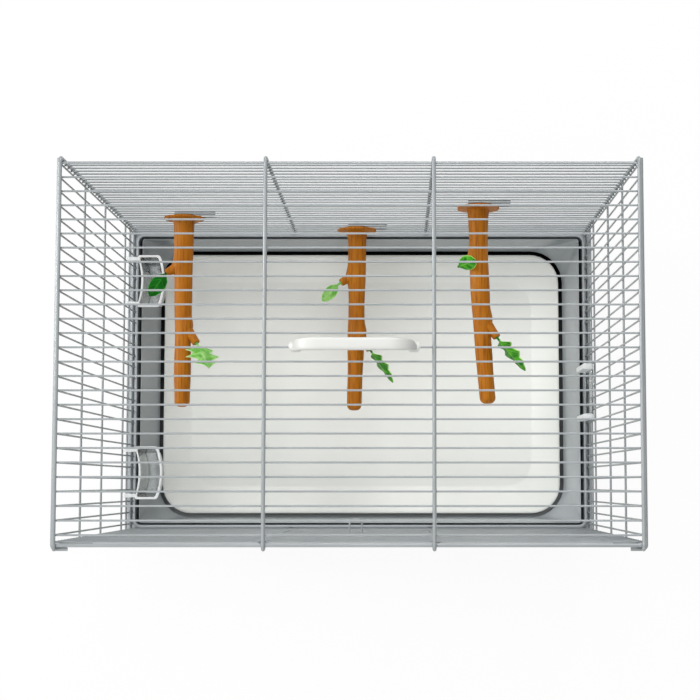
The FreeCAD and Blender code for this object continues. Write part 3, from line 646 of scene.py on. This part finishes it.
def add_perch(name, x, z, bend, seed):
    """Perch: stem, wall flange, shank and two stub sockets as one piece."""
    skins = [perch_stem(x, z, bend, seed), wall_flange(x, z, seed), threaded_shank(x, z),
             stub_socket(x, z, bend, "back"), stub_socket(x, z, bend, "front")]
    add_piece(name + "_branch_stem", skins, branch_finish, name + "_branch",
              [name + "_perch"])


# Leaves

def leaf_rings(base, aim, face, length, width, half_shares, cup, ripple):
    """Leaf blade as flat rings along the midrib: half width from the outline shares, thin at the rim.

    The blade cups across by the square of the place across, and its lobes ripple up and down by a sine.
    """
    rim_thickness, rib_thickness, sweep = 0.25, 0.4, 0.12
    ripple_turns, ripple_offset = 17, 1.2
    along = unit(aim)
    up = unit(np.asarray(face, float) - along * np.dot(face, along))
    side = np.cross(up, along)
    v = np.linspace(0, 1, 81)[:, None]
    u = np.concatenate([np.linspace(-1, 1, 15), np.linspace(1, -1, 15)])[None]
    upper = np.concatenate([np.ones(15), -np.ones(15)])[None]
    shares = np.array(half_shares)
    half = width / 2 * np.interp(v, shares[:, 0], shares[:, 1])
    thick = rim_thickness + rib_thickness * (1 - u ** 2)
    wave = ripple * u ** 2 * np.sin(ripple_turns * v + ripple_offset * np.sign(u))
    bend = cup * u ** 2 * half + wave
    lean = sweep * np.abs(u) * half
    points = (np.asarray(base) + (length * v + lean * (1 - v))[..., None] * along
              + (u * half)[..., None] * side + (bend + upper * thick)[..., None] * up)
    uv = np.stack(np.broadcast_arrays(0.5 + 0.5 * u, v), axis=-1).reshape(-1, 2)
    return points, uv


def add_leaf(perch, kind, aim, face, finish, cup=0.0, ripple=0.0, size=1.0, reach=4.2):
    """Leaf on its stalk: a plug in the stub's socket, a thin stalk bent towards the blade, and the blade.

    A plain leaf sits in the back stub and a lobed one in the front stub.
    """
    if kind == "plain":
        stub, length, width, shares = "back", PLAIN_LENGTH * size, PLAIN_WIDTH * size, PLAIN_HALF
    else:
        stub, length, width, shares = "front", LOBED_LENGTH, LOBED_WIDTH, LOBED_HALF
    end, lean = stub_end(*PERCHES[perch], stub)
    stalk_end = end + lean * reach
    blade_rings, blade_uv = leaf_rings(stalk_end, aim, face, length, width, shares, cup, ripple)
    plug_and_stalk = [(0, 2.2), (0.3, 2.4), (5.6, 2.4), (5.9, 2.1), (6.2, 1.4), (8, 1.2), (10, 1.2), (11, 0.9)]
    stalk = revolved(end - lean * PLUG_LENGTH, lean, plug_and_stalk, 20)
    overlap = 0.6
    midrib = revolved(stalk_end - lean * overlap, unit(aim),
                      [(0, 1.0), (length * 0.3, 0.8), (length * 0.5, 0.3)], 12)
    stalk_uv = np.full((len(stalk[0]) + len(midrib[0]), 2), (0.7, 0.33))
    leaf = f"{perch}_{kind}_leaf"
    add_piece(leaf + "_blade", [skin(blade_rings), stalk, midrib], finish, perch + "_branch",
              [leaf], uv=np.concatenate([blade_uv, stalk_uv]), sharp=60)


add_base_tub()
add_litter_tray()
add_handle()
add_cup("back_cup", "rear_feeder", BACK_CUP_Y)
add_cup("front_cup", "front_feeder", FRONT_CUP_Y)
add_guard_plate()
for number, (name, place) in enumerate(PERCHES.items()):
    add_perch(name, *place, seed=number * 1.7)

# The darker and lighter green copies on these leaves are painted shade and painted light.
add_leaf("left", "plain", (-0.56, -0.82, 0.1), (0, 0, 1), painted_shade_leaf_finish, cup=-0.08, size=1.16, reach=0.6)
add_leaf("left", "lobed", (0.35, -0.6, 0.7), (0.35, 1, 0.7), painted_light_leaf_finish, cup=-0.1, ripple=0.8)
add_leaf("middle", "plain", (-0.68, -0.72, 0.1), (0.3, -0.25, 0.9), painted_light_leaf_finish, cup=0.1)
add_leaf("middle", "lobed", (0.55, -0.78, -0.25), (-0.82, -0.48, 0.32), leaf_finish, cup=-0.12, ripple=0.8)
add_leaf("right", "plain", (0.55, 0.12, 0.8), (-0.5, -0.5, 0.6), leaf_finish, cup=-0.2, size=1.12)
add_leaf("right", "lobed", (0.63, -0.71, -0.2), (-0.78, -0.53, 0.32), leaf_finish, cup=-0.12, ripple=0.8)


# Floor, light and camera, in metres

def background_rays(tree):
    """Socket that is 1 for rays from the camera, from gloss and through clear plastic, and 0 for others."""
    path = add_node(tree, "ShaderNodeLightPath")
    seen = path.outputs["Is Camera Ray"]
    for kind in ("Is Glossy Ray", "Is Transmission Ray"):
        either = add_node(tree, "ShaderNodeMath", {0: seen, 1: path.outputs[kind]}, operation="MAXIMUM")
        seen = either.outputs[0]
    return seen


def soft_white_ground():
    """Matt white floor that keeps a soft shadow: seen directly it is mostly plain white light."""
    glow_share = 0.92
    material = bpy.data.materials.new("matt_white_ground")
    material.use_nodes = True
    tree = material.node_tree
    tree.nodes.clear()
    share = add_node(tree, "ShaderNodeMath", {0: background_rays(tree), 1: glow_share}, operation="MULTIPLY")
    matt = add_node(tree, "ShaderNodeBsdfDiffuse", {"Color": linear("#F2F2F0")})
    white = add_node(tree, "ShaderNodeEmission", {"Color": (1, 1, 1, 1), "Strength": 1.0})
    mix = add_node(tree, "ShaderNodeMixShader",
                   {0: share.outputs[0], 1: matt.outputs[0], 2: white.outputs[0]})
    add_node(tree, "ShaderNodeOutputMaterial", {"Surface": mix.outputs[0]})
    return material


def add_floor():
    """Level square of 8 metres, half a millimetre under the cage."""
    half, low = 4, -0.0005
    corners = np.array([(-half, -half, low), (half, -half, low), (half, half, low), (-half, half, low)])
    mesh = bpy.data.meshes.new("floor")
    mesh.from_pydata(corners, [], [(0, 1, 2, 3)])
    mesh.materials.append(soft_white_ground())
    floor = bpy.data.objects.new("floor", mesh)
    bpy.context.scene.collection.objects.link(floor)


def add_world():
    """Even sky light. Seen directly, in gloss or through clear plastic, it is plain white."""
    sky_strength = 0.26
    world = bpy.data.worlds.new("white_room")
    bpy.context.scene.world = world
    world.use_nodes = True
    tree = world.node_tree
    tree.nodes.clear()
    light = add_node(tree, "ShaderNodeBackground", {"Color": (1, 1, 1, 1), "Strength": sky_strength})
    white = add_node(tree, "ShaderNodeBackground", {"Color": (1, 1, 1, 1), "Strength": 1.0})
    mix = add_node(tree, "ShaderNodeMixShader",
                   {0: background_rays(tree), 1: light.outputs[0], 2: white.outputs[0]})
    add_node(tree, "ShaderNodeOutputWorld", {"Surface": mix.outputs[0]})


def add_softbox(name, place, target, size, power):
    """Square area lamp aimed at a point."""
    lamp = bpy.data.lights.new(name, "AREA")
    lamp.size = size
    lamp.energy = power
    holder = bpy.data.objects.new(name, lamp)
    holder.location = place
    holder.rotation_euler = (Vector(target) - Vector(place)).to_track_quat("-Z", "Y").to_euler()
    bpy.context.scene.collection.objects.link(holder)


def add_camera():
    """Camera 1.3 metres above the roof, in front of the middle and right of it, tilted 4.6 degrees back."""
    place, lean_forward = (0.0434, -0.1193, 1.8003), 0.0798
    focal_pixels, image_pixels, sensor = 1502.2, 700.0, 36.0
    camera = bpy.data.cameras.new("camera")
    camera.sensor_width = sensor
    camera.lens = sensor * focal_pixels / image_pixels
    camera.shift_x = -0.0686
    camera.shift_y = 0.02
    right = Vector((1, 0, 0))
    back = Vector((0, -lean_forward, 1)).normalized()
    up = back.cross(right)
    holder = bpy.data.objects.new("camera", camera)
    turn = Matrix((right, up, back)).transposed().to_4x4()
    holder.matrix_world = Matrix.Translation(place) @ turn
    bpy.context.scene.collection.objects.link(holder)
    bpy.context.scene.camera = holder


add_floor()
add_world()
add_softbox("key", (-2.6, 0.4, 1.0), (0, 0, 0.2), 0.45, 32)
add_softbox("top", (-0.5, 0.6, 2.7), (0, 0, 0.2), 3.2, 41)
add_softbox("back", (0.2, 2.2, 1.6), (0, 0, 0.3), 1.2, 30)
add_softbox("fill", (-0.3, -2.2, 1.7), (0, 0, 0.2), 1.6, 24)
add_camera()

bpy.context.scene.view_settings.view_transform = "Standard"
